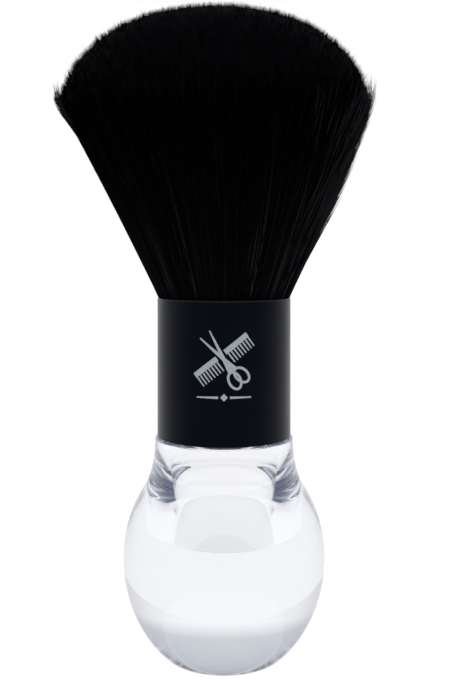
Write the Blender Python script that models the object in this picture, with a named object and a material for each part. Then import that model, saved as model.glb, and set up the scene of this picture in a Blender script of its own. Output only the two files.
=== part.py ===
"""Neck duster brush: a clear ball handle, a black ferrule sleeve and a fan of black bristles.

Metres, +Z up. The origin is the centre of the handle's flat base, and every piece is turned about
the Z axis. From the base up: the hollow clear handle, the cup that holds the glued bristle knot,
and the sleeve that covers both.
"""

import math

import bmesh
import bpy
from mathutils import Vector
from mathutils.geometry import interpolate_bezier

# Clear handle: two half spheroids with a common widest ring, cut flat below and drawn into a neck.
BALL_RADIUS = 0.02535
BALL_CENTRE = 0.0242
BALL_LOWER_HALF = 0.0298
BALL_UPPER_HALF = 0.0287
BASE_EDGE_HEIGHT = 0.0007
BASE_EDGE_INSET = 0.0007
SHOULDER_START = 0.0410
SHOULDER_PULL = 0.0030
NECK_RADIUS = 0.01737
NECK_TOP = 0.0543
SPIGOT_RADIUS = 0.0152
SPIGOT_LENGTH = 0.0100
BORE_RADIUS = 0.0140
BORE_FLOOR = 0.0290
BORE_CORNER = 0.0006

# Ferrule sleeve: thin metal tube with its top edge hemmed inwards.
SLEEVE_RADIUS = 0.0168
SLEEVE_WALL = 0.0005
SLEEVE_LENGTH = 0.0347
HEM_WALL = 0.0010
HEM_HEIGHT = 0.0014
CUT_EDGE_BREAK = 0.0002

# Inner pieces, with the gap that any two pieces keep between them.
GAP = 0.0003
EDGE_BREAK = 0.0004
GLUE_END_SPACE = 0.0010
CUP_GLUE = 0.0004
CUP_WALL = 0.0010
CUP_FLOOR = 0.0015
CUP_HEIGHT = 0.0155
RESIN_THICKNESS = 0.0050
RESIN_MENISCUS = 0.0008
BINDING_SPACE = 0.0012
BINDING_THREAD_RADIUS = 0.00035
BINDING_TURNS = 4
BINDING_PITCH = 0.0009
CORE_FOOT_RADIUS = 0.0025
CORE_HEAD_RADIUS = 0.0060
CORE_HEIGHT = 0.0160
CORE_HEAD_ROUND = 0.0030

# Bristle knot: a fan with slightly bowed sides under a low dome.
MOUTH_FLARE_RADIUS = 0.0172
MOUTH_FLARE_HEIGHT = 0.0016
SIDE_TOP_RADIUS = 0.0369
SIDE_TOP = 0.1330
SIDE_START_SLOPE = math.radians(26.0)
SIDE_END_SLOPE = math.radians(24.0)
FAN_RADIUS = 0.0389
FAN_WIDEST = 0.1380
FAN_ROUND = 0.0022
DOME_RISE = 0.0235

SIDES = 64
INNER_SIDES = 48
SMOOTH_BELOW = math.radians(35.0)
WELD = 1e-6

# Heights that follow from the dimensions above.
SPIGOT_TOP = NECK_TOP + SPIGOT_LENGTH
SLEEVE_BOTTOM = NECK_TOP + GAP
SLEEVE_TOP = SLEEVE_BOTTOM + SLEEVE_LENGTH
SLEEVE_BORE = SLEEVE_RADIUS - SLEEVE_WALL
MOUTH_RADIUS = SLEEVE_RADIUS - HEM_WALL
CUP_BOTTOM = SPIGOT_TOP + GAP
CUP_TOP = CUP_BOTTOM + CUP_HEIGHT
CUP_RADIUS = SLEEVE_BORE - 2 * GAP - CUP_GLUE
CUP_BORE = CUP_RADIUS - CUP_WALL
RESIN_BOTTOM = CUP_BOTTOM + CUP_FLOOR + GAP
RESIN_TOP = RESIN_BOTTOM + RESIN_THICKNESS
ROOT_BOTTOM = RESIN_TOP + GAP
BINDING_RADIUS = CUP_BORE - GAP - BINDING_THREAD_RADIUS
BINDING_BOTTOM = ROOT_BOTTOM + BINDING_SPACE
BINDING_TOP = BINDING_BOTTOM + BINDING_TURNS * BINDING_PITCH


def clear_scene():
    for thing in list(bpy.data.objects):
        bpy.data.objects.remove(thing, do_unlink=True)


def material(name, colour, roughness, metallic=0.0, transmission=0.0):
    made = bpy.data.materials.new(name)
    made.use_nodes = True
    shader = made.node_tree.nodes["Principled BSDF"]
    shader.inputs["Base Color"].default_value = (*colour, 1.0)
    shader.inputs["Roughness"].default_value = roughness
    shader.inputs["Metallic"].default_value = metallic
    shader.inputs["Transmission Weight"].default_value = transmission
    return made


def arc(centre, radii, start, end, steps):
    """Points of an ellipse's arc in the (radius, height) plane, with both ends included."""
    angles = (start + (end - start) * step / steps for step in range(steps + 1))
    return [
        (centre[0] + radii[0] * math.cos(angle), centre[1] + radii[1] * math.sin(angle))
        for angle in angles
    ]


def bend(first, first_handle, last_handle, last, steps):
    """A cubic curve between two (radius, height) points, without its first point."""
    flat = [Vector((radius, height, 0.0)) for radius, height in (first, first_handle, last_handle, last)]
    return [(point.x, point.y) for point in interpolate_bezier(*flat, steps + 1)[1:]]


def turned(name, outline, finish, ring=False, sides=SIDES):
    """A solid turned about Z from (radius, height) points. A ring's outline closes on itself."""
    mesh = bpy.data.meshes.new(name)
    bm = bmesh.new()
    points = [bm.verts.new((radius, 0.0, height)) for radius, height in outline]
    pairs = list(zip(points, points[1:]))
    if ring:
        pairs.append((points[-1], points[0]))
    edges = [bm.edges.new(pair) for pair in pairs]
    bmesh.ops.spin(
        bm,
        geom=points + edges,
        cent=(0.0, 0.0, 0.0),
        axis=(0.0, 0.0, 1.0),
        angle=2 * math.pi,
        steps=sides,
        use_merge=True,
    )
    bmesh.ops.remove_doubles(bm, verts=bm.verts[:], dist=WELD)
    bmesh.ops.recalc_face_normals(bm, faces=bm.faces[:])
    bm.to_mesh(mesh)
    bm.free()
    return placed(name, mesh, finish)


def placed(name, mesh, finish):
    mesh.shade_smooth()
    mesh.set_sharp_from_angle(angle=SMOOTH_BELOW)
    mesh.materials.append(finish)
    piece = bpy.data.objects.new(name, mesh)
    bpy.context.scene.collection.objects.link(piece)
    return piece


def tube_ring(name, inner, outer, bottom, top, finish):
    outline = [(outer, top), (outer, bottom), (inner, bottom), (inner, top)]
    return turned(name, outline, finish, ring=True, sides=INNER_SIDES)


def ball_angle(height):
    """Angle on the ball's spheroids, from the widest ring, at which they pass this height."""
    half = BALL_UPPER_HALF if height > BALL_CENTRE else BALL_LOWER_HALF
    return math.asin((height - BALL_CENTRE) / half)


def ball_outline():
    """The handle's outside, from the rim of the flat base up to the start of the shoulder."""
    centre = (0.0, BALL_CENTRE)
    lower = arc(centre, (BALL_RADIUS, BALL_LOWER_HALF), ball_angle(BASE_EDGE_HEIGHT), 0.0, 14)
    upper = arc(centre, (BALL_RADIUS, BALL_UPPER_HALF), 0.0, ball_angle(SHOULDER_START), 9)
    base_rim = BALL_RADIUS * math.cos(ball_angle(0.0))
    flat_rim = (base_rim - BASE_EDGE_INSET, 0.0)
    edge = bend(flat_rim, (base_rim - BASE_EDGE_INSET / 3, 0.0), (base_rim, 0.0), lower[0], 3)
    return [flat_rim] + edge + lower[1:] + upper[1:]


def shoulder_outline(start):
    """The hollow curve from the ball into the neck, tangent to the ball."""
    slope = -BALL_RADIUS**2 / BALL_UPPER_HALF**2 * (start[1] - BALL_CENTRE) / start[0]
    first_handle = (start[0] + slope * SHOULDER_PULL, start[1] + SHOULDER_PULL)
    end = (NECK_RADIUS, NECK_TOP - EDGE_BREAK)
    last_handle = (NECK_RADIUS, NECK_TOP - 2 * SHOULDER_PULL)
    return bend(start, first_handle, last_handle, end, 8)


def clear_handle():
    ball = ball_outline()
    shoulder = shoulder_outline(ball[-1])
    neck_edge = [(NECK_RADIUS - EDGE_BREAK, NECK_TOP)]
    spigot = [
        (SPIGOT_RADIUS, NECK_TOP),
        (SPIGOT_RADIUS, SPIGOT_TOP - EDGE_BREAK),
        (SPIGOT_RADIUS - EDGE_BREAK, SPIGOT_TOP),
        (BORE_RADIUS, SPIGOT_TOP),
    ]
    corner = (BORE_RADIUS - BORE_CORNER, BORE_FLOOR + BORE_CORNER)
    bore = arc(corner, (BORE_CORNER, BORE_CORNER), 0.0, -math.pi / 2, 3)
    outline = [(0.0, 0.0)] + ball + shoulder + neck_edge + spigot + bore + [(0.0, BORE_FLOOR)]
    plastic = material("clear_plastic", (0.93, 0.94, 0.98), 0.03, transmission=1.0)
    turned("clear_handle", outline, plastic)


def ferrule_sleeve():
    half_hem = HEM_WALL / 2
    hem_centre = (SLEEVE_RADIUS - half_hem, SLEEVE_TOP - half_hem)
    outline = arc(hem_centre, (half_hem, half_hem), math.pi, 0.0, 6)
    outline += [
        (SLEEVE_RADIUS, SLEEVE_BOTTOM + CUT_EDGE_BREAK),
        (SLEEVE_RADIUS - CUT_EDGE_BREAK, SLEEVE_BOTTOM),
        (SLEEVE_BORE, SLEEVE_BOTTOM),
        (SLEEVE_BORE, SLEEVE_TOP - HEM_HEIGHT - EDGE_BREAK),
        (MOUTH_RADIUS, SLEEVE_TOP - HEM_HEIGHT),
    ]
    lacquer = material("black_lacquer", (0.012, 0.013, 0.016), 0.35, metallic=0.3)
    turned("ferrule_sleeve", outline, lacquer, ring=True)


def glue_rings(glue):
    """Cured adhesive between the sleeve and the two pieces pushed into it."""
    outer = SLEEVE_BORE - GAP
    tube_ring(
        "handle_adhesive",
        SPIGOT_RADIUS + GAP,
        outer,
        SLEEVE_BOTTOM + GLUE_END_SPACE,
        SPIGOT_TOP - GLUE_END_SPACE,
        glue,
    )
    tube_ring(
        "cup_adhesive",
        CUP_RADIUS + GAP,
        outer,
        CUP_BOTTOM + GLUE_END_SPACE,
        CUP_TOP - GLUE_END_SPACE,
        glue,
    )


def knot_cup():
    outline = [
        (0.0, CUP_BOTTOM),
        (CUP_RADIUS - EDGE_BREAK, CUP_BOTTOM),
        (CUP_RADIUS, CUP_BOTTOM + EDGE_BREAK),
        (CUP_RADIUS, CUP_TOP),
        (CUP_BORE, CUP_TOP),
        (CUP_BORE, CUP_BOTTOM + CUP_FLOOR),
        (0.0, CUP_BOTTOM + CUP_FLOOR),
    ]
    turned("knot_cup", outline, material("cup_plastic", (0.03, 0.03, 0.03), 0.5), sides=INNER_SIDES)


def resin_plug(glue):
    """Potting resin under the bristle roots. It has crept a little way up the cup's wall."""
    rim = CUP_BORE - GAP
    crest = (rim, RESIN_TOP + RESIN_MENISCUS)
    inner = rim - 2 * RESIN_MENISCUS
    climb = bend(crest, (rim, RESIN_TOP), (rim - RESIN_MENISCUS, RESIN_TOP), (inner, RESIN_TOP), 3)
    outline = [(0.0, RESIN_BOTTOM), (rim, RESIN_BOTTOM), crest] + climb + [(0.0, RESIN_TOP)]
    turned("resin_plug", outline, glue, sides=INNER_SIDES)


def root_binding():
    """Waxed thread wound round the roots to hold the knot together while it is glued."""
    steps_per_turn = 32
    curve = bpy.data.curves.new("root_binding", "CURVE")
    curve.dimensions = "3D"
    curve.bevel_depth = BINDING_THREAD_RADIUS
    curve.bevel_resolution = 1
    curve.use_fill_caps = True
    thread = curve.splines.new("POLY")
    thread.points.add(steps_per_turn * BINDING_TURNS)
    for step, point in enumerate(thread.points):
        turn = step / steps_per_turn
        angle = 2 * math.pi * turn
        height = BINDING_BOTTOM + BINDING_PITCH * turn
        point.co = (BINDING_RADIUS * math.cos(angle), BINDING_RADIUS * math.sin(angle), height, 1.0)
    curve.materials.append(material("waxed_thread", (0.55, 0.50, 0.40), 0.8))
    bpy.context.scene.collection.objects.link(bpy.data.objects.new("root_binding", curve))


def core_outline(grow):
    """The flare core's outside, from its foot to its rounded head, moved out by grow."""
    foot = (CORE_FOOT_RADIUS + grow, ROOT_BOTTOM)
    head = ROOT_BOTTOM + CORE_HEIGHT - CORE_HEAD_ROUND
    crown_radii = (CORE_HEAD_RADIUS + grow, CORE_HEAD_ROUND + grow)
    crown = arc((0.0, head), crown_radii, 0.0, math.pi / 2, 5)
    return [foot] + crown[:-1] + [(0.0, head + crown_radii[1])]


def flare_core():
    """Tapered plug in the middle of the roots, which wedges the knot open into a fan."""
    outline = [(0.0, ROOT_BOTTOM)] + core_outline(0.0)
    turned("flare_core", outline, material("core_plastic", (0.70, 0.68, 0.62), 0.6), sides=INNER_SIDES)


def fan_outline():
    """The knot's outside above the mouth: flared edge, bowed side, round shoulder and dome."""
    mouth = (MOUTH_RADIUS - GAP, SLEEVE_TOP + GAP)
    flare = (MOUTH_FLARE_RADIUS, SLEEVE_TOP + MOUTH_FLARE_HEIGHT)
    side_end = (SIDE_TOP_RADIUS, SIDE_TOP)
    third = (SIDE_TOP - flare[1]) / 3
    low_handle = (flare[0] + third * math.tan(SIDE_START_SLOPE), flare[1] + third)
    high_handle = (SIDE_TOP_RADIUS - third * math.tan(SIDE_END_SLOPE), SIDE_TOP - third)
    side = bend(flare, low_handle, high_handle, side_end, 5)
    lean = (SIDE_TOP_RADIUS + FAN_ROUND * math.tan(SIDE_END_SLOPE), SIDE_TOP + FAN_ROUND)
    widest = (FAN_RADIUS, FAN_WIDEST)
    round_over = bend(side_end, lean, (FAN_RADIUS, FAN_WIDEST - FAN_ROUND), widest, 4)
    dome = arc((0.0, FAN_WIDEST), (FAN_RADIUS, DOME_RISE), 0.0, math.pi / 2, 14)
    return [mouth, flare] + side + round_over + dome[1:-1] + [(0.0, FAN_WIDEST + DOME_RISE)]


def bristle_knot():
    """The bundle of filaments as one body, open below round the flare core."""
    tied = BINDING_RADIUS - BINDING_THREAD_RADIUS - GAP
    in_cup = CUP_BORE - GAP
    in_sleeve = SLEEVE_BORE - GAP
    hem_bottom = SLEEVE_TOP - HEM_HEIGHT - EDGE_BREAK
    roots = [
        (tied, ROOT_BOTTOM),
        (tied, BINDING_TOP + BINDING_THREAD_RADIUS + GAP),
        (in_cup, BINDING_TOP + BINDING_SPACE),
        (in_cup, CUP_TOP + GAP),
        (in_sleeve, CUP_TOP + GAP + (in_sleeve - in_cup)),
        (in_sleeve, hem_bottom - 2 * GAP),
        (MOUTH_RADIUS - GAP, hem_bottom),
    ]
    pocket = core_outline(GAP)
    outline = pocket[::-1] + roots + fan_outline()
    turned("bristle_knot", outline, material("black_filament", (0.010, 0.010, 0.012), 0.6))


clear_scene()
cured_glue = material("cured_epoxy", (0.60, 0.55, 0.42), 0.3)
clear_handle()
ferrule_sleeve()
glue_rings(cured_glue)
knot_cup()
resin_plug(cured_glue)
root_binding()
flare_core()
bristle_knot()
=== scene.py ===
"""Looks of the neck duster brush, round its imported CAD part.

Metres, +Z up, the printed side towards -Y. The clear handle and the sleeve are turned again here
with fine facets, the printed mark is wrapped round the sleeve, and the bristle head is made of
single strands over a dark core.
"""

import math

import bmesh
import bpy
import numpy as np
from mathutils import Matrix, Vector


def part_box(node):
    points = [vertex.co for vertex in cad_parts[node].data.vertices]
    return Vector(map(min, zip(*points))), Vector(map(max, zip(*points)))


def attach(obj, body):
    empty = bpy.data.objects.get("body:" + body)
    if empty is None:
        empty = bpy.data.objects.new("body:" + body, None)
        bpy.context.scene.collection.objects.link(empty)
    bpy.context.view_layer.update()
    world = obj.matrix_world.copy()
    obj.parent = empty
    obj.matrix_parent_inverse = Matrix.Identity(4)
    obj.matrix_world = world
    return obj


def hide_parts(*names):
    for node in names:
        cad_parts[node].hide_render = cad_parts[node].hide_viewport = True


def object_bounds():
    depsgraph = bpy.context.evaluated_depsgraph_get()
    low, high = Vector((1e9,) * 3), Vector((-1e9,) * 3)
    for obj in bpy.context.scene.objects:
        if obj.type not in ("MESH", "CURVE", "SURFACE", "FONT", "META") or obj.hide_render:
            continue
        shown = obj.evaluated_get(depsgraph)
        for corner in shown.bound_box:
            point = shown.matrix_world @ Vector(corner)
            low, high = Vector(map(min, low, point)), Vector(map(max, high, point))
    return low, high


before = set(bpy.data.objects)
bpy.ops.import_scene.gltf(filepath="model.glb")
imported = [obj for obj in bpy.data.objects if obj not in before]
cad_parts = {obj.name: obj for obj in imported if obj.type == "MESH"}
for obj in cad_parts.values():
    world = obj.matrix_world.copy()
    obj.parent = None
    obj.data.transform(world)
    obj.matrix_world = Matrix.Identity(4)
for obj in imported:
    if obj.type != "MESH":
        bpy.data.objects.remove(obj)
cad_low, cad_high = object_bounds()

# Clear handle, as in the CAD part.
BALL_RADIUS = 0.02535
BALL_CENTRE = 0.0242
BALL_LOWER_HALF = 0.0298
BALL_UPPER_HALF = 0.0287
BASE_EDGE_HEIGHT = 0.0007
BASE_EDGE_INSET = 0.0007
SHOULDER_START = 0.0410
SHOULDER_PULL = 0.0030
NECK_RADIUS = 0.01737
NECK_TOP = 0.0543
SPIGOT_RADIUS = 0.0152
SPIGOT_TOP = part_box("clear_handle")[1].z
BORE_RADIUS = 0.0140
BORE_FLOOR = 0.0290
BORE_CORNER = 0.0006
EDGE_BREAK = 0.0004

# Sleeve, as in the CAD part.
SLEEVE_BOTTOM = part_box("ferrule_sleeve")[0].z
SLEEVE_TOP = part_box("ferrule_sleeve")[1].z
SLEEVE_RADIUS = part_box("ferrule_sleeve")[1].x
SLEEVE_WALL = 0.0005
HEM_WALL = 0.0010
HEM_HEIGHT = 0.0014
CUT_EDGE_BREAK = 0.0002

# The lacquer is paler this far down from the sleeve's top, in this colour.
LIP_BAND_DEPTH = 0.00035
LIP_BAND_COLOUR = (0.030, 0.032, 0.036, 1.0)

# Bristle head.
MOUTH_RADIUS = SLEEVE_RADIUS - HEM_WALL - 0.0003
FLARE_RADIUS = 0.0172
FLARE_HEIGHT = SLEEVE_TOP + 0.0016
FLARE_DEPTH = 0.0022
SIDE_TOP_RADIUS = 0.0369
SIDE_TOP = 0.1330
SIDE_START_SLOPE = math.tan(math.radians(26.0))
SIDE_END_SLOPE = math.tan(math.radians(24.0))
FAN_RADIUS = 0.0389
FAN_WIDEST = 0.1380
DOME_RISE = cad_high.z - FAN_WIDEST
DOME_FLATNESS = 2.6
DOME_SHARPNESS = 0.60
LEAN = -0.0024
LEAN_CURVE = 2.5
LEAN_BACK = 0.5

# Core under the strands, as shares of the fan. Its hidden pocket clears the plug inside it by CORE_GAP;
# POCKET_TOP is in shares of the pocket's radius and heights over the plug's top.
CORE_SHARE = 0.975
CORE_RISE = 0.975
CORE_DROP = 0.0005
CORE_GAP = 0.0003
POCKET_TOP = ((0.0, CORE_GAP), (0.7, -0.0004), (1.0, -0.003))
POCKET_FOOT_RADIUS = 0.0029
THREAD_THICKNESS = 0.0010
BOUND_HEIGHT = 0.006
SPREAD_HEIGHT = 0.0085
SPREAD_SHARE = 0.97

# Clear plastic, polished outside. The frost covers the bore's wall and floor, and a little past both.
PLASTIC_IOR = 1.49
BODY_TINT = (0.50, 0.56, 0.80)
BODY_DENSITY = 1.5
BORE_FROST = 0.06
FROST_PAST_WALL = 0.0003
FROST_PAST_FLOOR = 0.0005

# Filaments: colours from the darkest strand to the palest, and tones from a strand's start to its tip.
STRAND_SHADES = [
    (0.0, (0.0008, 0.0008, 0.0012)),
    (0.4, (0.0075, 0.0078, 0.0086)),
    (1.0, (0.070, 0.071, 0.075)),
]
STRAY_SHADES = [(0.0, (0.006, 0.006, 0.007)), (1.0, (0.05, 0.052, 0.055))]
# Painted light and shade: SIDE_TONES paints the side strands paler toward their start near the sleeve, and
# TIP_TONES paints the dome's strands much darker, a painted shade on the head's top.
SIDE_TONES = [(0.0, 1.0), (0.25, 0.85), (0.5, 0.32), (0.75, 0.12), (1.0, 0.12)]
TIP_TONES = [(0.0, 0.05), (0.7, 0.06), (1.0, 0.14)]
STRAY_TONES = [(0.0, 0.4), (1.0, 1.0)]

# Sky: its colour by height above the horizon, times its colour by direction, from the front round to
# the back. At the sides the low colours climb higher.
SKY = [
    (0.0, (1.0, 1.0, 1.0)),
    (0.12, (0.67, 0.70, 0.73)),
    (0.75, (0.60, 0.63, 0.69)),
    (1.0, (0.8, 0.8, 0.85)),
]
ROUND = [
    (0.0, (0.20, 0.22, 0.31)),
    (0.3, (0.23, 0.25, 0.34)),
    (0.5, (0.40, 0.42, 0.49)),
    (0.8, (0.8, 0.8, 0.83)),
    (1.0, (1.0, 1.0, 1.0)),
]
SIDE_LIFT = 0.36

# Stage. The floor and the backdrop are seen only by the camera, the light table only by the diffuse
# and refracted rays that leave the brush. The table is dim in front: it brightens from TABLE_DIM_Y
# to TABLE_BRIGHT_Y.
SHEET_HALF = 6.0
FLOOR_DROP = 0.0002
FLOOR_GLOW = 0.90
FLOOR_ALBEDO = 0.35
TABLE_DROP = 0.0003
TABLE_GLOW = 0.93
TABLE_ALBEDO = 0.2
TABLE_FRONT = 0.35
TABLE_DIM_Y = -0.06
TABLE_BRIGHT_Y = -0.01
BACKDROP_ROWS = ((5.8, -0.1), (5.8, 3.0), (4.0, 5.0), (0.001, 6.0))
BACKDROP_SIDES = 64
FRONT_POWER = 6.0
FRONT_SIZE = 1.2
FRONT_PLACE = (0.0, -1.2, 0.5)
FRONT_TILT = math.radians(72.0)

# Camera: level, at the height of the head's lower part, close enough to show the ball's roundness.
CAMERA_DISTANCE = 0.240
CAMERA_HEIGHT = 0.1025
CAMERA_LENS = 49.895
CAMERA_SENSOR = 36.0
CAMERA_SHIFT = (0.0095, -0.142)
CAMERA_CLIP = 0.01

# With few bounces the clear handle shows false dark patches.
LIGHT_BOUNCES = 40

TURNED_SIDES = 192


# ---------------------------------------------------------------- materials

def new_material(name):
    made = bpy.data.materials.new(name)
    made.use_nodes = True
    tree = made.node_tree
    return made, tree, tree.nodes["Principled BSDF"]


def coordinates_of(tree, kind="Object"):
    """The X, Y and Z sockets of one kind of texture coordinates."""
    coordinates = tree.nodes.new("ShaderNodeTexCoord")
    split = tree.nodes.new("ShaderNodeSeparateXYZ")
    tree.links.new(coordinates.outputs[kind], split.inputs["Vector"])
    return tuple(split.outputs)


def noise(tree, scale, detail=3.0, stretch=(1.0, 1.0, 1.0)):
    coordinates = tree.nodes.new("ShaderNodeTexCoord")
    mapping = tree.nodes.new("ShaderNodeMapping")
    mapping.inputs["Scale"].default_value = stretch
    texture = tree.nodes.new("ShaderNodeTexNoise")
    texture.inputs["Scale"].default_value = scale
    texture.inputs["Detail"].default_value = detail
    tree.links.new(coordinates.outputs["Object"], mapping.inputs["Vector"])
    tree.links.new(mapping.outputs["Vector"], texture.inputs["Vector"])
    return texture.outputs["Fac"]


def ramp(tree, value, stops):
    """Colours along a value, from (position, colour) stops."""
    made = tree.nodes.new("ShaderNodeValToRGB")
    elements = made.color_ramp.elements
    while len(elements) < len(stops):
        elements.new(0.5)
    for element, (position, colour) in zip(elements, stops):
        element.position = position
        element.color = (*colour, 1.0)
    tree.links.new(value, made.inputs["Fac"])
    return made.outputs["Color"]


def multiplied(tree, first, second):
    made = tree.nodes.new("ShaderNodeMix")
    made.data_type = "RGBA"
    made.blend_type = "MULTIPLY"
    made.inputs["Factor"].default_value = 1.0
    tree.links.new(first, made.inputs["A"])
    tree.links.new(second, made.inputs["B"])
    return made.outputs["Result"]


def spread(tree, value, low, high):
    """The noise value stretched to run from low to high."""
    made = tree.nodes.new("ShaderNodeMapRange")
    made.inputs["From Min"].default_value = 0.3
    made.inputs["From Max"].default_value = 0.7
    made.inputs["To Min"].default_value = low
    made.inputs["To Max"].default_value = high
    tree.links.new(value, made.inputs["Value"])
    return made.outputs["Result"]


def bump(tree, shader, value, strength, distance):
    made = tree.nodes.new("ShaderNodeBump")
    made.inputs["Strength"].default_value = strength
    made.inputs["Distance"].default_value = distance
    tree.links.new(value, made.inputs["Height"])
    tree.links.new(made.outputs["Normal"], shader.inputs["Normal"])


def moulded(name, dark, light, roughness, grain, relief):
    """A plain solid finish: two close shades, a roughness that wanders, and a fine relief."""
    made, tree, shader = new_material(name)
    broad = noise(tree, grain)
    fine = noise(tree, grain * 6)
    tree.links.new(ramp(tree, broad, [(0.3, dark), (0.7, light)]), shader.inputs["Base Color"])
    tree.links.new(spread(tree, fine, roughness - 0.05, roughness + 0.05), shader.inputs["Roughness"])
    bump(tree, shader, fine, 0.3, relief)
    return made


def maths(tree, operation, first, second):
    """A Math node of one input from the tree and one plain number, or of two from the tree."""
    made = tree.nodes.new("ShaderNodeMath")
    made.operation = operation
    for socket, value in zip(made.inputs, (first, second)):
        if isinstance(value, float):
            socket.default_value = value
        else:
            tree.links.new(value, socket)
    return made.outputs["Value"]


def clear_plastic():
    """Clear moulded plastic, polished outside and slightly frosted inside the bore."""
    made, tree, shader = new_material("clear_plastic")
    shader.inputs["Transmission Weight"].default_value = 1.0
    shader.inputs["IOR"].default_value = PLASTIC_IOR
    x, y, z = coordinates_of(tree)
    reach = maths(tree, "ADD", maths(tree, "MULTIPLY", x, x), maths(tree, "MULTIPLY", y, y))
    within = maths(tree, "LESS_THAN", reach, (BORE_RADIUS + FROST_PAST_WALL) ** 2)
    above = maths(tree, "GREATER_THAN", z, BORE_FLOOR - FROST_PAST_FLOOR)
    frost = maths(tree, "MULTIPLY", within, maths(tree, "MULTIPLY", above, BORE_FROST))
    tree.links.new(frost, shader.inputs["Roughness"])
    flow = noise(tree, 30.0, 1.0, (1.0, 1.0, 0.4))
    tint = ramp(tree, flow, [(0.3, (0.985, 0.985, 0.990)), (0.7, (1.0, 1.0, 1.0))])
    tree.links.new(tint, shader.inputs["Base Color"])
    bump(tree, shader, flow, 0.12, 0.0008)
    body = tree.nodes.new("ShaderNodeVolumeAbsorption")
    body.inputs["Color"].default_value = (*BODY_TINT, 1.0)
    body.inputs["Density"].default_value = BODY_DENSITY
    tree.links.new(body.outputs["Volume"], tree.nodes["Material Output"].inputs["Volume"])
    return made


def black_lacquer():
    """Satin black lacquer, a little paler along the top of the rolled upper lip."""
    made, tree, shader = new_material("black_lacquer")
    shader.inputs["Specular IOR Level"].default_value = 0.17
    cloud = noise(tree, 120.0, 2.0)
    peel = noise(tree, 2600.0, 2.0)
    tone = ramp(tree, cloud, [(0.3, (0.0006, 0.0014, 0.0028)), (0.7, (0.0012, 0.0022, 0.0042))])
    z = coordinates_of(tree)[2]
    # The lacquer is made paler along the top of the rolled lip.
    lip_band = tree.nodes.new("ShaderNodeMix")
    lip_band.data_type = "RGBA"
    lip_band.inputs["B"].default_value = LIP_BAND_COLOUR
    lip = maths(tree, "GREATER_THAN", z, SLEEVE_TOP - LIP_BAND_DEPTH)
    tree.links.new(lip, lip_band.inputs["Factor"])
    tree.links.new(tone, lip_band.inputs["A"])
    tree.links.new(lip_band.outputs["Result"], shader.inputs["Base Color"])
    tree.links.new(spread(tree, cloud, 0.27, 0.33), shader.inputs["Roughness"])
    bump(tree, shader, peel, 0.15, 0.00002)
    return made


def grey_ink():
    made, tree, shader = new_material("grey_ink")
    shader.inputs["Specular IOR Level"].default_value = 0.3
    grain = noise(tree, 2500.0, 4.0)
    tone = ramp(tree, grain, [(0.3, (0.48, 0.53, 0.55)), (0.7, (0.60, 0.66, 0.68))])
    tree.links.new(tone, shader.inputs["Base Color"])
    tree.links.new(spread(tree, grain, 0.40, 0.55), shader.inputs["Roughness"])
    bump(tree, shader, grain, 0.2, 0.00002)
    return made


def filament(name, stops, upwards):
    """Black filament. The strands' own map gives each its shade across and its length upwards."""
    made, tree, shader = new_material(name)
    shader.inputs["Specular IOR Level"].default_value = 0.03
    own_map = tree.nodes.new("ShaderNodeUVMap")
    own_map.uv_map = "OFBake"
    split = tree.nodes.new("ShaderNodeSeparateXYZ")
    tree.links.new(own_map.outputs["UV"], split.inputs["Vector"])
    shade = ramp(tree, split.outputs["X"], stops)
    length = ramp(tree, split.outputs["Y"], [(place, (tone, tone, tone)) for place, tone in upwards])
    tree.links.new(multiplied(tree, shade, length), shader.inputs["Base Color"])
    rough = tree.nodes.new("ShaderNodeMapRange")
    rough.inputs["To Min"].default_value = 0.50
    rough.inputs["To Max"].default_value = 0.75
    tree.links.new(split.outputs["Y"], rough.inputs["Value"])
    tree.links.new(rough.outputs["Result"], shader.inputs["Roughness"])
    return made


def core_filament():
    made, tree, shader = new_material("core_filament")
    shader.inputs["Specular IOR Level"].default_value = 0.05
    streaks = noise(tree, 900.0, 3.0, (1.0, 1.0, 0.04))
    tone = ramp(tree, streaks, [(0.3, (0.0012, 0.0012, 0.0016)), (0.7, (0.0030, 0.0032, 0.0038))])
    tree.links.new(tone, shader.inputs["Base Color"])
    tree.links.new(spread(tree, streaks, 0.70, 0.90), shader.inputs["Roughness"])
    bump(tree, shader, streaks, 0.8, 0.0002)
    return made


# ---------------------------------------------------------------- meshes

def placed(name, mesh, finish, slot, *nodes):
    mesh.materials.append(finish)
    piece = bpy.data.objects.new(name, mesh)
    bpy.context.scene.collection.objects.link(piece)
    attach(piece, "root")
    if nodes:
        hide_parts(*nodes)
    return piece


def arc(centre, radii, start, end, steps):
    angles = np.linspace(start, end, steps + 1)
    return [(centre[0] + radii[0] * math.cos(a), centre[1] + radii[1] * math.sin(a)) for a in angles]


def bend(first, first_handle, last_handle, last, steps):
    """A cubic curve between two (radius, height) points, without its first point."""
    t = np.linspace(0.0, 1.0, steps + 1)[1:, None]
    corners = [np.array(p) for p in (first, first_handle, last_handle, last)]
    shares = ((1 - t) ** 3, 3 * t * (1 - t) ** 2, 3 * t * t * (1 - t), t**3)
    return [tuple(p) for p in sum(share * corner for share, corner in zip(shares, corners))]


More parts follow.
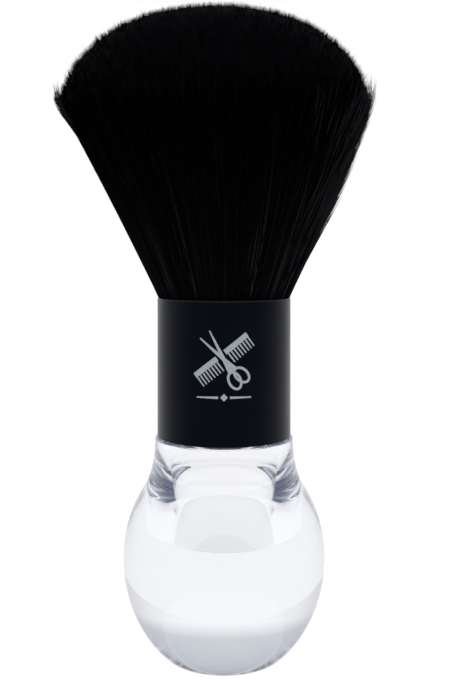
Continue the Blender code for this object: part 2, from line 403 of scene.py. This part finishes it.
def turned_mesh(name, outline, ring=False, sides=TURNED_SIDES):
    """A body turned about Z from (radius, height) points. A ring's outline closes on itself."""
    bm = bmesh.new()
    points = [bm.verts.new((radius, 0.0, height)) for radius, height in outline]
    pairs = list(zip(points, points[1:]))
    if ring:
        pairs.append((points[-1], points[0]))
    edges = [bm.edges.new(pair) for pair in pairs]
    bmesh.ops.spin(
        bm,
        geom=points + edges,
        cent=(0, 0, 0),
        axis=(0, 0, 1),
        angle=2 * math.pi,
        steps=sides,
        use_merge=True,
    )
    bmesh.ops.remove_doubles(bm, verts=bm.verts[:], dist=1e-7)
    bmesh.ops.recalc_face_normals(bm, faces=bm.faces[:])
    mesh = bpy.data.meshes.new(name)
    bm.to_mesh(mesh)
    bm.free()
    mesh.shade_smooth()
    mesh.set_sharp_from_angle(angle=math.radians(35.0))
    return mesh


def ball_angle(height):
    half = BALL_UPPER_HALF if height > BALL_CENTRE else BALL_LOWER_HALF
    return math.asin((height - BALL_CENTRE) / half)


def handle_outline():
    centre = (0.0, BALL_CENTRE)
    lower = arc(centre, (BALL_RADIUS, BALL_LOWER_HALF), ball_angle(BASE_EDGE_HEIGHT), 0.0, 48)
    upper = arc(centre, (BALL_RADIUS, BALL_UPPER_HALF), 0.0, ball_angle(SHOULDER_START), 32)
    base_rim = BALL_RADIUS * math.cos(ball_angle(0.0))
    flat_rim = (base_rim - BASE_EDGE_INSET, 0.0)
    edge = bend(flat_rim, (base_rim - BASE_EDGE_INSET / 3, 0.0), (base_rim, 0.0), lower[0], 8)
    start = upper[-1]
    slope = -BALL_RADIUS**2 / BALL_UPPER_HALF**2 * (start[1] - BALL_CENTRE) / start[0]
    shoulder = bend(
        start,
        (start[0] + slope * SHOULDER_PULL, start[1] + SHOULDER_PULL),
        (NECK_RADIUS, NECK_TOP - 2 * SHOULDER_PULL),
        (NECK_RADIUS, NECK_TOP - EDGE_BREAK),
        32,
    )
    round_edge = arc(
        (NECK_RADIUS - EDGE_BREAK, NECK_TOP - EDGE_BREAK), (EDGE_BREAK, EDGE_BREAK), 0.0, math.pi / 2, 5
    )[1:]
    spigot = [
        (SPIGOT_RADIUS, NECK_TOP),
        (SPIGOT_RADIUS, SPIGOT_TOP - EDGE_BREAK),
        (SPIGOT_RADIUS - EDGE_BREAK, SPIGOT_TOP),
        (BORE_RADIUS, SPIGOT_TOP),
    ]
    corner = (BORE_RADIUS - BORE_CORNER, BORE_FLOOR + BORE_CORNER)
    bore = arc(corner, (BORE_CORNER, BORE_CORNER), 0.0, -math.pi / 2, 20)
    return [(0.0, 0.0), flat_rim] + edge + lower[1:] + upper[1:] + shoulder + round_edge + spigot + bore + [
        (0.0, BORE_FLOOR)
    ]


def sleeve_outline():
    half_hem = HEM_WALL / 2
    hem = arc((SLEEVE_RADIUS - half_hem, SLEEVE_TOP - half_hem), (half_hem, half_hem), math.pi, 0.0, 16)
    bore = SLEEVE_RADIUS - SLEEVE_WALL
    mouth = SLEEVE_RADIUS - HEM_WALL
    foot = arc(
        (SLEEVE_RADIUS - CUT_EDGE_BREAK, SLEEVE_BOTTOM + CUT_EDGE_BREAK),
        (CUT_EDGE_BREAK, CUT_EDGE_BREAK),
        0.0,
        -math.pi / 2,
        5,
    )
    return hem + foot + [
        (bore, SLEEVE_BOTTOM),
        (bore, SLEEVE_TOP - HEM_HEIGHT - EDGE_BREAK),
        (mouth, SLEEVE_TOP - HEM_HEIGHT),
    ]


# ---------------------------------------------------------------- printed mark

MARK_HEIGHT = 0.0755
INK_LIFT = 0.00003
INK_STEP = 0.0004
LOOP_STEPS = 40

# Comb: its back is a bar, and its teeth run from TOOTH_ROOT to TOOTH_TIP across the comb.
COMB_ANGLE = math.radians(38.0)
COMB_HALF = 0.0080
COMB_BACK = 0.0012
COMB_BACK_WIDTH = 0.0013
TEETH = 19
TEETH_INSET = 0.0003
TOOTH_ROOT = 0.0005
TOOTH_TIP = -0.0021
TOOTH_WIDTHS = (0.00042, 0.00030)

# Scissors, with the comb broken off within BLADE_MARGIN of each blade's line.
SCISSORS_ANGLE = math.radians(128.0)
BLADE_ANGLE = math.radians(11.0)
BLADE_ENDS = (-0.0036, 0.0076)
BLADE_WIDTHS = (0.0012, 0.0003)
BLADE_MARGIN = 0.0011
FINGER_CENTRE = -0.0056
FINGER_RADII = (0.0021, 0.0014)
FINGER_WIDTH = 0.0006

# Rule in two halves with a diamond between them.
RULE_HEIGHT = 0.0665
RULE_ENDS = (0.0014, 0.0066)
RULE_WIDTHS = (0.0006, 0.0003)
DIAMOND_HALF = 0.0009
DIAMOND_STEPS = 8
DIAMOND_POINT = 0.00001


class Ink:
    """Flat ribbons of ink in (across, up) metres, wrapped round the front of the sleeve."""

    def __init__(self):
        self.vertices = []
        self.faces = []

    def wrapped(self, across, up, lift):
        angle = across / SLEEVE_RADIUS
        radius = SLEEVE_RADIUS + lift
        return (radius * math.sin(angle), -radius * math.cos(angle), up)

    def ribbon(self, path, widths, layer=1, keep=None):
        """A strip along a path of points, with a width at each, with its two long sides turned in."""
        path = np.array(path, float)
        along = np.gradient(path, axis=0)
        along /= np.linalg.norm(along, axis=1)[:, None]
        side = np.stack([-along[:, 1], along[:, 0]], 1) * np.array(widths, float)[:, None] / 2
        lift = INK_LIFT * layer
        rows = []
        for point, half in zip(path, side):
            row = len(self.vertices)
            self.vertices += [
                self.wrapped(*(point - half), 0.0),
                self.wrapped(*(point - half), lift),
                self.wrapped(*(point + half), lift),
                self.wrapped(*(point + half), 0.0),
            ]
            rows.append(row)
        for step, (a, b) in enumerate(zip(rows, rows[1:])):
            if keep is not None and not keep(path[step : step + 2].mean(0)):
                continue
            self.faces += [(a + k, b + k, b + k + 1, a + k + 1) for k in range(3)]

    def line(self, start, end, widths, layer=1, keep=None):
        """A straight ribbon whose width changes evenly from the first of two widths to the second."""
        start, end = np.array(start, float), np.array(end, float)
        steps = max(2, int(np.linalg.norm(end - start) / INK_STEP))
        t = np.linspace(0.0, 1.0, steps + 1)[:, None]
        self.ribbon(start + (end - start) * t, np.linspace(*widths, steps + 1), layer, keep)

    def loop(self, centre, radii, turn, width, layer=1):
        angles = np.linspace(0.0, 2 * math.pi, LOOP_STEPS + 1)
        flat = np.stack([radii[0] * np.cos(angles), radii[1] * np.sin(angles)], 1)
        spin = np.array([[math.cos(turn), math.sin(turn)], [-math.sin(turn), math.cos(turn)]])
        path = flat @ spin + np.array(centre)
        self.ribbon(path, np.full(len(path), width), layer)


def turned_point(angle, along, across=0.0):
    """A point of the mark, from how far it is along and across a line at this angle."""
    direction = np.array([math.cos(angle), math.sin(angle)])
    normal = np.array([-direction[1], direction[0]])
    return np.array([0.0, MARK_HEIGHT]) + direction * along + normal * across


def printed_mark():
    """A comb crossed with open scissors, over a thin rule with a small diamond in its middle."""
    ink = Ink()
    blades = [SCISSORS_ANGLE - BLADE_ANGLE, SCISSORS_ANGLE + BLADE_ANGLE]

    def clear_of_scissors(point):
        for angle in blades:
            direction = np.array([math.cos(angle), math.sin(angle)])
            offset = point - np.array([0.0, MARK_HEIGHT])
            if abs(offset[0] * direction[1] - offset[1] * direction[0]) < BLADE_MARGIN:
                return False
        return True

    back_start = turned_point(COMB_ANGLE, -COMB_HALF, COMB_BACK)
    back_end = turned_point(COMB_ANGLE, COMB_HALF, COMB_BACK)
    ink.line(back_start, back_end, (COMB_BACK_WIDTH, COMB_BACK_WIDTH), keep=clear_of_scissors)
    for tooth in range(TEETH):
        along = -COMB_HALF + TEETH_INSET + 2 * (COMB_HALF - TEETH_INSET) * tooth / (TEETH - 1)
        root = turned_point(COMB_ANGLE, along, TOOTH_ROOT)
        tip = turned_point(COMB_ANGLE, along, TOOTH_TIP)
        ink.line(root, tip, TOOTH_WIDTHS, keep=clear_of_scissors)
    for angle in blades:
        start, end = (turned_point(angle, along) for along in BLADE_ENDS)
        ink.line(start, end, BLADE_WIDTHS, layer=2)
        ink.loop(turned_point(angle, FINGER_CENTRE), FINGER_RADII, angle, FINGER_WIDTH, layer=2)
    for side in (-1.0, 1.0):
        start, end = ((side * across, RULE_HEIGHT) for across in RULE_ENDS)
        ink.line(start, end, RULE_WIDTHS)
    across = np.linspace(-DIAMOND_HALF, DIAMOND_HALF, DIAMOND_STEPS + 1)
    diamond = np.stack([across, np.full(len(across), RULE_HEIGHT)], 1)
    ink.ribbon(diamond, 2 * (DIAMOND_HALF - np.abs(across)) + DIAMOND_POINT)
    mesh = bpy.data.meshes.new("printed_mark")
    mesh.from_pydata(ink.vertices, [], ink.faces)
    bm = bmesh.new()
    bm.from_mesh(mesh)
    bmesh.ops.delete(bm, geom=[v for v in bm.verts if not v.link_faces], context="VERTS")
    bmesh.ops.recalc_face_normals(bm, faces=bm.faces[:])
    bm.to_mesh(mesh)
    bm.free()
    return placed("printed_mark", mesh, grey_ink(), "black_lacquer")


# ---------------------------------------------------------------- bristles

# Strand counts, points along each strand, and widths at the root.
SIDE_COUNT, SIDE_POINTS, SIDE_WIDTH = 7600, 10, 0.00017
TIP_COUNT, TIP_POINTS, TIP_WIDTH = 30000, 4, 0.00018
STRAY_POINTS, STRAY_WIDTH = 8, 0.00014
BUNDLES = 420

# The side strands fill this outer share of the fan's radius, and start at this height, inside the
# sleeve's mouth. The tip strands reach out to TIP_SHARE of the radius, where the strays start.
SIDE_LAYER = 0.075
SIDE_START = SLEEVE_TOP - 0.0025
TIP_SHARE = 0.985

# Random spreads, in metres: how far strands bow, drift sideways and end unevenly.
SIDE_BOW = 0.0005
SIDE_DRIFT = 0.0011
SIDE_UNEVEN = 0.0003
TIP_UNEVEN = 0.00022
TIP_CLUMP = 0.00045
TIP_SCATTER = 0.0004
STRAY_DRIFT = 0.0012

# Above the fan's widest height the strays turn in by this share of their rise, to follow the dome.
STRAY_TURN_IN = 0.45

STRAY_GROUPS = (
    # count, middle azimuth, spread, lowest and highest tip,
    # most stand-off, shortest and longest, palest
    (900, 0.0, 0.70, 0.112, 0.1440, 0.0022, 0.010, 0.026, 0.8),
    (320, math.pi, 0.30, 0.1355, 0.1425, 0.0020, 0.006, 0.014, 0.5),
    (260, math.pi / 2, 1.6, 0.112, 0.1425, 0.0009, 0.010, 0.025, 0.15),
    (260, -math.pi / 2, 1.6, 0.112, 0.1425, 0.0009, 0.010, 0.025, 0.15),
)


def fan_radius(height):
    """The head's outer radius at a height. Above the side it goes on in a straight line."""
    rise = SIDE_TOP - FLARE_HEIGHT
    t = np.clip((height - FLARE_HEIGHT) / rise, 0.0, 1.0)
    third = rise / 3
    side = (
        FLARE_RADIUS * (1 - t) ** 3
        + 3 * (FLARE_RADIUS + third * SIDE_START_SLOPE) * t * (1 - t) ** 2
        + 3 * (SIDE_TOP_RADIUS - third * SIDE_END_SLOPE) * t * t * (1 - t)
        + SIDE_TOP_RADIUS * t**3
    )
    above = np.maximum(height - SIDE_TOP, 0.0) * SIDE_END_SLOPE
    flare = np.clip((FLARE_HEIGHT - height) / FLARE_DEPTH, 0.0, 1.0)
    return side + above - (FLARE_RADIUS - MOUTH_RADIUS) * flare * flare * (3 - 2 * flare)


def dome_height(radius):
    share = np.clip(radius / FAN_RADIUS, 0.0, 1.0)
    return FAN_WIDEST + DOME_RISE * (1 - share**DOME_FLATNESS) ** DOME_SHARPNESS


def tip_height(share):
    """Height at which strands at this share of the fan's radius reach the dome."""
    low = np.full_like(share, FLARE_HEIGHT)
    high = np.full_like(share, cad_high.z)
    for _ in range(30):
        middle = (low + high) / 2
        below = middle < dome_height(share * fan_radius(middle))
        low = np.where(below, middle, low)
        high = np.where(below, high, middle)
    return (low + high) / 2


def lean(height):
    t = np.maximum((height - SLEEVE_TOP) / (FAN_WIDEST - SLEEVE_TOP), 0.0)
    return LEAN * np.where(t < 1.0, t**LEAN_CURVE, 1.0 - LEAN_BACK * (t - 1.0))


def waves(random, count, low, high):
    """A smooth random field over a plane, as a function that gives its slope at points."""
    turn = random.uniform(0.0, 2 * math.pi, count)
    size = random.uniform(low, high, count)
    way = np.stack([np.cos(turn), np.sin(turn)], 1) * (2 * math.pi / size)[:, None]
    phase = random.uniform(0.0, 2 * math.pi, count)

    def slope(points):
        wave = np.cos(points @ way.T + phase)
        return (wave @ (way * size[:, None])) / (2 * math.pi * math.sqrt(count))

    return slope


def strand_mesh(name, lines, radii, tones):
    """Three-sided strands with pointed ends. lines is (strand, point, xyz), radii (strand, point)."""
    count, rings, _ = lines.shape
    along = np.gradient(lines, axis=1)
    along /= np.linalg.norm(along, axis=2)[..., None]
    outward = lines * np.array([1.0, 1.0, 0.0]) + np.array([1e-5, 0.0, 0.0])
    side = np.cross(along, outward)
    side /= np.linalg.norm(side, axis=2)[..., None]
    other = np.cross(side, along)
    inner = rings - 2
    corners = []
    for corner in range(3):
        angle = 2 * math.pi * corner / 3 + math.pi / 2
        offset = math.cos(angle) * side + math.sin(angle) * other
        corners.append(lines[:, 1:-1] + offset[:, 1:-1] * radii[:, 1:-1, None])
    body = np.stack(corners, 2).reshape(count, inner * 3, 3)
    vertices = np.concatenate([lines[:, :1], body, lines[:, -1:]], 1)
    per_strand = inner * 3 + 2
    faces = []
    for corner in range(3):
        after = (corner + 1) % 3
        faces.append((0, 1 + after, 1 + corner))
        for ring in range(inner - 1):
            a, b = 1 + ring * 3 + corner, 1 + ring * 3 + after
            faces += [(a, b, b + 3), (a, b + 3, a + 3)]
        last = 1 + (inner - 1) * 3
        faces.append((last + corner, last + after, per_strand - 1))
    faces = (np.array(faces)[None] + (np.arange(count) * per_strand)[:, None, None]).reshape(-1, 3)
    mesh = bpy.data.meshes.new(name)
    mesh.from_pydata(vertices.reshape(-1, 3), [], faces)
    height = np.concatenate([[0.0], np.repeat(np.linspace(0.0, 1.0, rings)[1:-1], 3), [1.0]])
    spread_u = np.concatenate([[0.0], np.tile([-1.0, 0.0, 1.0], inner), [0.0]]) * 0.01
    u = np.clip(tones[:, None] + spread_u[None], 0.001, 0.999)
    v = np.repeat(0.001 + 0.998 * height[None], count, 0)
    uv = np.stack([u, v], 2).reshape(-1, 2)[faces.ravel()]
    mesh.uv_layers.new(name="OFBake").data.foreach_set("uv", uv.ravel().astype(np.float32))
    mesh.shade_smooth()
    return mesh


def fan_lines(share, azimuth, start, end, rings):
    """Straight-lying strands of the fan between two heights, one row of points each."""
    t = np.linspace(0.0, 1.0, rings)[None]
    height = start[:, None] + (end - start)[:, None] * t
    radius = share[:, None] * fan_radius(height)
    return np.stack([radius * np.cos(azimuth)[:, None], radius * np.sin(azimuth)[:, None], height], 2)


def leaned(lines):
    lines[..., 0] += lean(lines[..., 2])
    return lines


def tapered(random, count, rings, width, tip):
    """Radii of strands that keep their width until near their tips."""
    t = np.linspace(0.0, 1.0, rings)
    shape = np.where(t < 0.6, 1.0, 1.0 - (1.0 - tip) * (t - 0.6) / 0.4)
    return width / 2 * random.uniform(0.8, 1.25, count)[:, None] * shape[None]


def in_halves(name, lines, radii, tones, finish):
    """Makes one piece of the strands on each side of the brush."""
    left = lines[:, -1, 0] < lean(lines[:, -1, 2])
    for word, chosen in (("left", left), ("right", ~left)):
        mesh = strand_mesh(f"{name}_{word}", lines[chosen], radii[chosen], tones[chosen])
        placed(f"{name}_{word}", mesh, finish, "black_filament", "bristle_knot")


def rightness(azimuth):
    """From 0 on the brush's left to 1 on its right, where the strands are painted paler for the light they
    catch.
    """
    return np.clip(0.5 + 0.75 * np.cos(azimuth), 0.0, 1.0)


def streaks(random, azimuth):
    """From 0 to 1: narrow bundles of strands, a few of them paler, by direction round the brush."""
    paleness = random.uniform(0.0, 1.0, BUNDLES) ** 4
    return paleness[(azimuth / (2 * math.pi) * BUNDLES).astype(int) % BUNDLES]


def side_bristles(finish):
    """Long strands in the fan's outer layers, from inside the sleeve's mouth to the dome."""
    random = np.random.default_rng(11)
    count, rings = SIDE_COUNT, SIDE_POINTS
    azimuth = random.uniform(0.0, 2 * math.pi, count)
    share = 1.0 - SIDE_LAYER * random.uniform(0.0, 1.0, count) ** 1.3
    clump = waves(random, 16, 0.05, 0.22)
    where = np.stack([np.cos(azimuth), np.sin(azimuth)], 1)
    share = np.minimum(share + 0.004 * clump(where)[:, 0], 1.0)
    end = tip_height(share) + random.normal(-0.0001, SIDE_UNEVEN, count)
    start = np.full(count, SIDE_START)
    lines = fan_lines(share, azimuth, start, end, rings)
    t = np.linspace(0.0, 1.0, rings)[None]
    bow = random.normal(0.0, SIDE_BOW, count)[:, None] * np.sin(math.pi * t)
    drift = random.normal(0.0, SIDE_DRIFT, count)[:, None] * t * t
    tangent = np.stack([-np.sin(azimuth), np.cos(azimuth), np.zeros(count)], 1)
    lines += tangent[:, None] * (bow + drift)[..., None]
    # Painted light: the strands' tones and paler bundles are made stronger on the right; apart from that
    # they differ at random.
    right = rightness(azimuth)
    tones = random.beta(1.3, 6.0, count) * (0.70 + 0.15 * right)
    tones += streaks(random, azimuth) * (0.75 + 0.25 * right) * random.uniform(0.2, 1.0, count)
    tones = np.clip(tones, 0.0, 1.0)
    radii = tapered(random, count, rings, SIDE_WIDTH, 0.5)
    in_halves("side_bristles", leaned(lines), radii, tones, finish)


def tip_bristles(finish):
    """Short upper ends of the strands inside the fan, which make up the dome."""
    random = np.random.default_rng(23)
    count, rings = TIP_COUNT, TIP_POINTS
    share = np.sqrt(random.uniform(0.0, 1.0, count)) * TIP_SHARE
    azimuth = random.uniform(0.0, 2 * math.pi, count)
    end = tip_height(share) + np.clip(random.normal(-0.0001, TIP_UNEVEN, count), -0.0008, 0.0005)
    start = end - random.uniform(0.006, 0.011, count)
    lines = fan_lines(share, azimuth, start, end, rings)
    clump = waves(random, 24, 0.0022, 0.0055)
    pull = clump(lines[:, -1, :2])
    t = np.linspace(0.0, 1.0, rings)[None, :, None]
    lines[..., :2] += -pull[:, None] * TIP_CLUMP * t
    lines[..., :2] += random.normal(0.0, TIP_SCATTER, (count, 1, 2)) * t * t
    tones = np.clip(random.beta(1.5, 4.0, count), 0.0, 1.0)
    radii = tapered(random, count, rings, TIP_WIDTH, 0.55)
    in_halves("tip_bristles", leaned(lines), radii, tones, finish)


def stray_bristles(finish):
    """Loose ends that stand off the fan: many on the right, a small tuft on the left shoulder."""
    random = np.random.default_rng(37)
    rings = STRAY_POINTS
    all_lines = []
    all_tones = []
    for count, middle, width, lowest, highest, off, shortest, longest, palest in STRAY_GROUPS:
        azimuth = middle + random.normal(0.0, width / 2, count)
        end = random.uniform(lowest, highest, count)
        start = end - random.uniform(shortest, longest, count)
        share = np.full(count, TIP_SHARE)
        lines = fan_lines(share, azimuth, start, end, rings)
        over = np.maximum(lines[..., 2] - FAN_WIDEST, 0.0) * STRAY_TURN_IN
        t = np.linspace(0.0, 1.0, rings)[None]
        stand = random.uniform(0.1, 1.0, count)[:, None] * off * t**1.6 - over * t
        outward = np.stack([np.cos(azimuth), np.sin(azimuth), np.zeros(count)], 1)
        tangent = np.stack([-np.sin(azimuth), np.cos(azimuth), np.zeros(count)], 1)
        lines += outward[:, None] * stand[..., None]
        lines += tangent[:, None] * (random.normal(0.0, STRAY_DRIFT, count)[:, None] * t * t)[..., None]
        all_lines.append(lines)
        all_tones.append(random.uniform(0.0, palest, count))
    lines = np.concatenate(all_lines)
    tones = np.concatenate(all_tones)
    radii = tapered(random, len(lines), rings, STRAY_WIDTH, 0.3)
    mesh = strand_mesh("stray_bristles", leaned(lines), radii, tones)
    placed("stray_bristles", mesh, finish, "black_filament", "bristle_knot")


def bristle_core():
    """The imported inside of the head, a little smaller than the fan, open below round the core plug."""
    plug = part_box("flare_core")[1]
    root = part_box("bristle_knot")[0].z
    pocket_radius = plug.x + CORE_GAP
    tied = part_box("root_binding")[1].x - THREAD_THICKNESS
    pocket = [(pocket_radius * part, plug.z + over) for part, over in POCKET_TOP]
    pocket.append((POCKET_FOOT_RADIUS, root))
    bound = [(tied, root), (tied, root + BOUND_HEIGHT), (MOUTH_RADIUS * SPREAD_SHARE, root + SPREAD_HEIGHT)]
    heights = np.linspace(SLEEVE_TOP - 0.001, FAN_WIDEST - 0.0015, 26)
    side = [(float(CORE_SHARE * fan_radius(np.array(height))), float(height)) for height in heights]
    crown = []
    for radius in np.linspace(FAN_RADIUS, 0.0, 60):
        rise = CORE_RISE * (dome_height(radius) - FAN_WIDEST)
        crown.append((float(CORE_SHARE * radius), float(FAN_WIDEST - CORE_DROP + rise)))
    outline = pocket + bound + side + crown
    mesh = turned_mesh("bristle_core", outline, sides=96)
    for vertex in mesh.vertices:
        vertex.co.x += float(lean(np.array(vertex.co.z)))
    placed("bristle_core", mesh, core_filament(), "black_filament", "bristle_knot")


# ---------------------------------------------------------------- stage

def world_light():
    """Soft light: white behind the brush down at the horizon, greyer above, dim in front."""
    world = bpy.data.worlds.new("soft_studio")
    bpy.context.scene.world = world
    world.use_nodes = True
    tree = world.node_tree
    background = tree.nodes["Background"]
    x, y, z = coordinates_of(tree, "Generated")
    lift = maths(tree, "MULTIPLY", maths(tree, "MULTIPLY", x, x), SIDE_LIFT)
    sky = ramp(tree, maths(tree, "SUBTRACT", z, lift), SKY)
    half = maths(tree, "MULTIPLY", y, 0.5)
    sides = ramp(tree, maths(tree, "ADD", half, 0.5), ROUND)
    tree.links.new(multiplied(tree, sky, sides), background.inputs["Color"])


def glowing(name, strength, albedo):
    """A matt white that gives light of its own."""
    made, tree, shader = new_material(name)
    shader.inputs["Base Color"].default_value = (albedo, albedo, albedo, 1.0)
    shader.inputs["Specular IOR Level"].default_value = 0.0
    shader.inputs["Roughness"].default_value = 0.9
    shader.inputs["Emission Color"].default_value = (1.0, 1.0, 1.0, 1.0)
    shader.inputs["Emission Strength"].default_value = strength
    return made, tree, shader


def seen_by(thing, camera, others):
    """Sets which rays meet a stage piece: the camera's own, or those that leave the brush."""
    thing.visible_camera = camera
    thing.visible_diffuse = others
    thing.visible_transmission = others
    thing.visible_glossy = False
    thing.visible_shadow = False
    thing.visible_volume_scatter = False


def level_sheet(name, height, finish):
    corners = [(-1, -1), (1, -1), (1, 1), (-1, 1)]
    mesh = bpy.data.meshes.new(name)
    mesh.from_pydata([(x * SHEET_HALF, y * SHEET_HALF, 0) for x, y in corners], [], [(0, 1, 2, 3)])
    mesh.materials.append(finish)
    sheet = bpy.data.objects.new(name, mesh)
    sheet.location.z = height
    bpy.context.scene.collection.objects.link(sheet)
    return sheet


def light_table():
    """The floor as the clear handle shows it, dim in front of the brush."""
    made, tree, shader = glowing("light_table", TABLE_GLOW, TABLE_ALBEDO)
    bright = tree.nodes.new("ShaderNodeMapRange")
    bright.inputs["From Min"].default_value = TABLE_DIM_Y
    bright.inputs["From Max"].default_value = TABLE_BRIGHT_Y
    bright.inputs["To Min"].default_value = TABLE_FRONT
    bright.inputs["To Max"].default_value = 1.0
    tree.links.new(coordinates_of(tree)[1], bright.inputs["Value"])
    tree.links.new(bright.outputs["Result"], shader.inputs["Emission Color"])
    return made


def floor_and_backdrop():
    """A pale floor and a white backdrop for the camera, and a light table that lights the brush."""
    pale_floor = glowing("pale_floor", FLOOR_GLOW, FLOOR_ALBEDO)[0]
    floor = level_sheet("studio_floor", -FLOOR_DROP, pale_floor)
    table = level_sheet("light_table", -TABLE_DROP, light_table())
    seen_by(floor, True, False)
    seen_by(table, False, True)

    angles = np.linspace(0.0, 2 * math.pi, BACKDROP_SIDES + 1)[:-1]
    vertices = [(r * math.cos(a), r * math.sin(a), z) for r, z in BACKDROP_ROWS for a in angles]
    width = len(angles)
    faces = []
    for low in range(0, (len(BACKDROP_ROWS) - 1) * width, width):
        for k in range(width):
            after = (k + 1) % width
            faces.append((low + k, low + after, low + width + after, low + width + k))
    drop = bpy.data.meshes.new("studio_backdrop")
    drop.from_pydata(vertices, [], faces)
    drop.materials.append(glowing("white_backdrop", 1.0, 0.0)[0])
    backdrop = bpy.data.objects.new("studio_backdrop", drop)
    bpy.context.scene.collection.objects.link(backdrop)
    seen_by(backdrop, True, False)


def front_light():
    """A broad soft light before the brush that gives no highlights and no refractions."""
    data = bpy.data.lights.new("front_light", "AREA")
    data.size = FRONT_SIZE
    data.energy = FRONT_POWER
    light = bpy.data.objects.new("front_light", data)
    light.location = FRONT_PLACE
    light.rotation_euler = (FRONT_TILT, 0.0, 0.0)
    light.visible_camera = False
    light.visible_glossy = False
    light.visible_transmission = False
    bpy.context.scene.collection.objects.link(light)


def camera():
    data = bpy.data.cameras.new("camera")
    data.sensor_width = CAMERA_SENSOR
    data.lens = CAMERA_LENS
    data.shift_x, data.shift_y = CAMERA_SHIFT
    data.clip_start = CAMERA_CLIP
    made = bpy.data.objects.new("camera", data)
    made.location = (0.0, -CAMERA_DISTANCE, CAMERA_HEIGHT)
    made.rotation_euler = (math.radians(90.0), 0.0, 0.0)
    bpy.context.scene.collection.objects.link(made)
    bpy.context.scene.camera = made


def inner_finishes():
    """Gives the six hidden CAD pieces their finishes."""
    epoxy = moulded("cured_epoxy", (0.52, 0.46, 0.33), (0.66, 0.61, 0.47), 0.25, 300.0, 0.00004)
    cup = moulded("cup_plastic", (0.020, 0.020, 0.022), (0.035, 0.035, 0.037), 0.5, 500.0, 0.00003)
    thread = moulded("waxed_thread", (0.42, 0.37, 0.28), (0.62, 0.57, 0.46), 0.8, 1800.0, 0.00010)
    plug = moulded("core_plastic", (0.62, 0.60, 0.54), (0.74, 0.72, 0.66), 0.6, 400.0, 0.00004)
    finishes = {
        "handle_adhesive": epoxy,
        "cup_adhesive": epoxy,
        "resin_plug": epoxy,
        "knot_cup": cup,
        "root_binding": thread,
        "flare_core": plug,
    }
    for node, finish in finishes.items():
        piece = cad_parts[node]
        for index in range(max(1, len(piece.material_slots))):
            if index >= len(piece.material_slots):
                piece.data.materials.append(finish)
            piece.material_slots[index].material = finish


world_light()
floor_and_backdrop()
front_light()
camera()
inner_finishes()
handle_mesh = turned_mesh("turned_handle", handle_outline())
placed("turned_handle", handle_mesh, clear_plastic(), "clear_plastic", "clear_handle")
sleeve_mesh = turned_mesh("lacquered_sleeve", sleeve_outline(), ring=True)
placed("lacquered_sleeve", sleeve_mesh, black_lacquer(), "black_lacquer", "ferrule_sleeve")
printed_mark()
bristle_core()
side_bristles(filament("side_filament", STRAND_SHADES, SIDE_TONES))
tip_bristles(filament("tip_filament", STRAND_SHADES, TIP_TONES))
stray_bristles(filament("stray_filament", STRAY_SHADES, STRAY_TONES))

scene = bpy.context.scene
scene.view_settings.view_transform = "Standard"
scene.cycles.max_bounces = LIGHT_BOUNCES
scene.cycles.glossy_bounces = LIGHT_BOUNCES
scene.cycles.transmission_bounces = LIGHT_BOUNCES
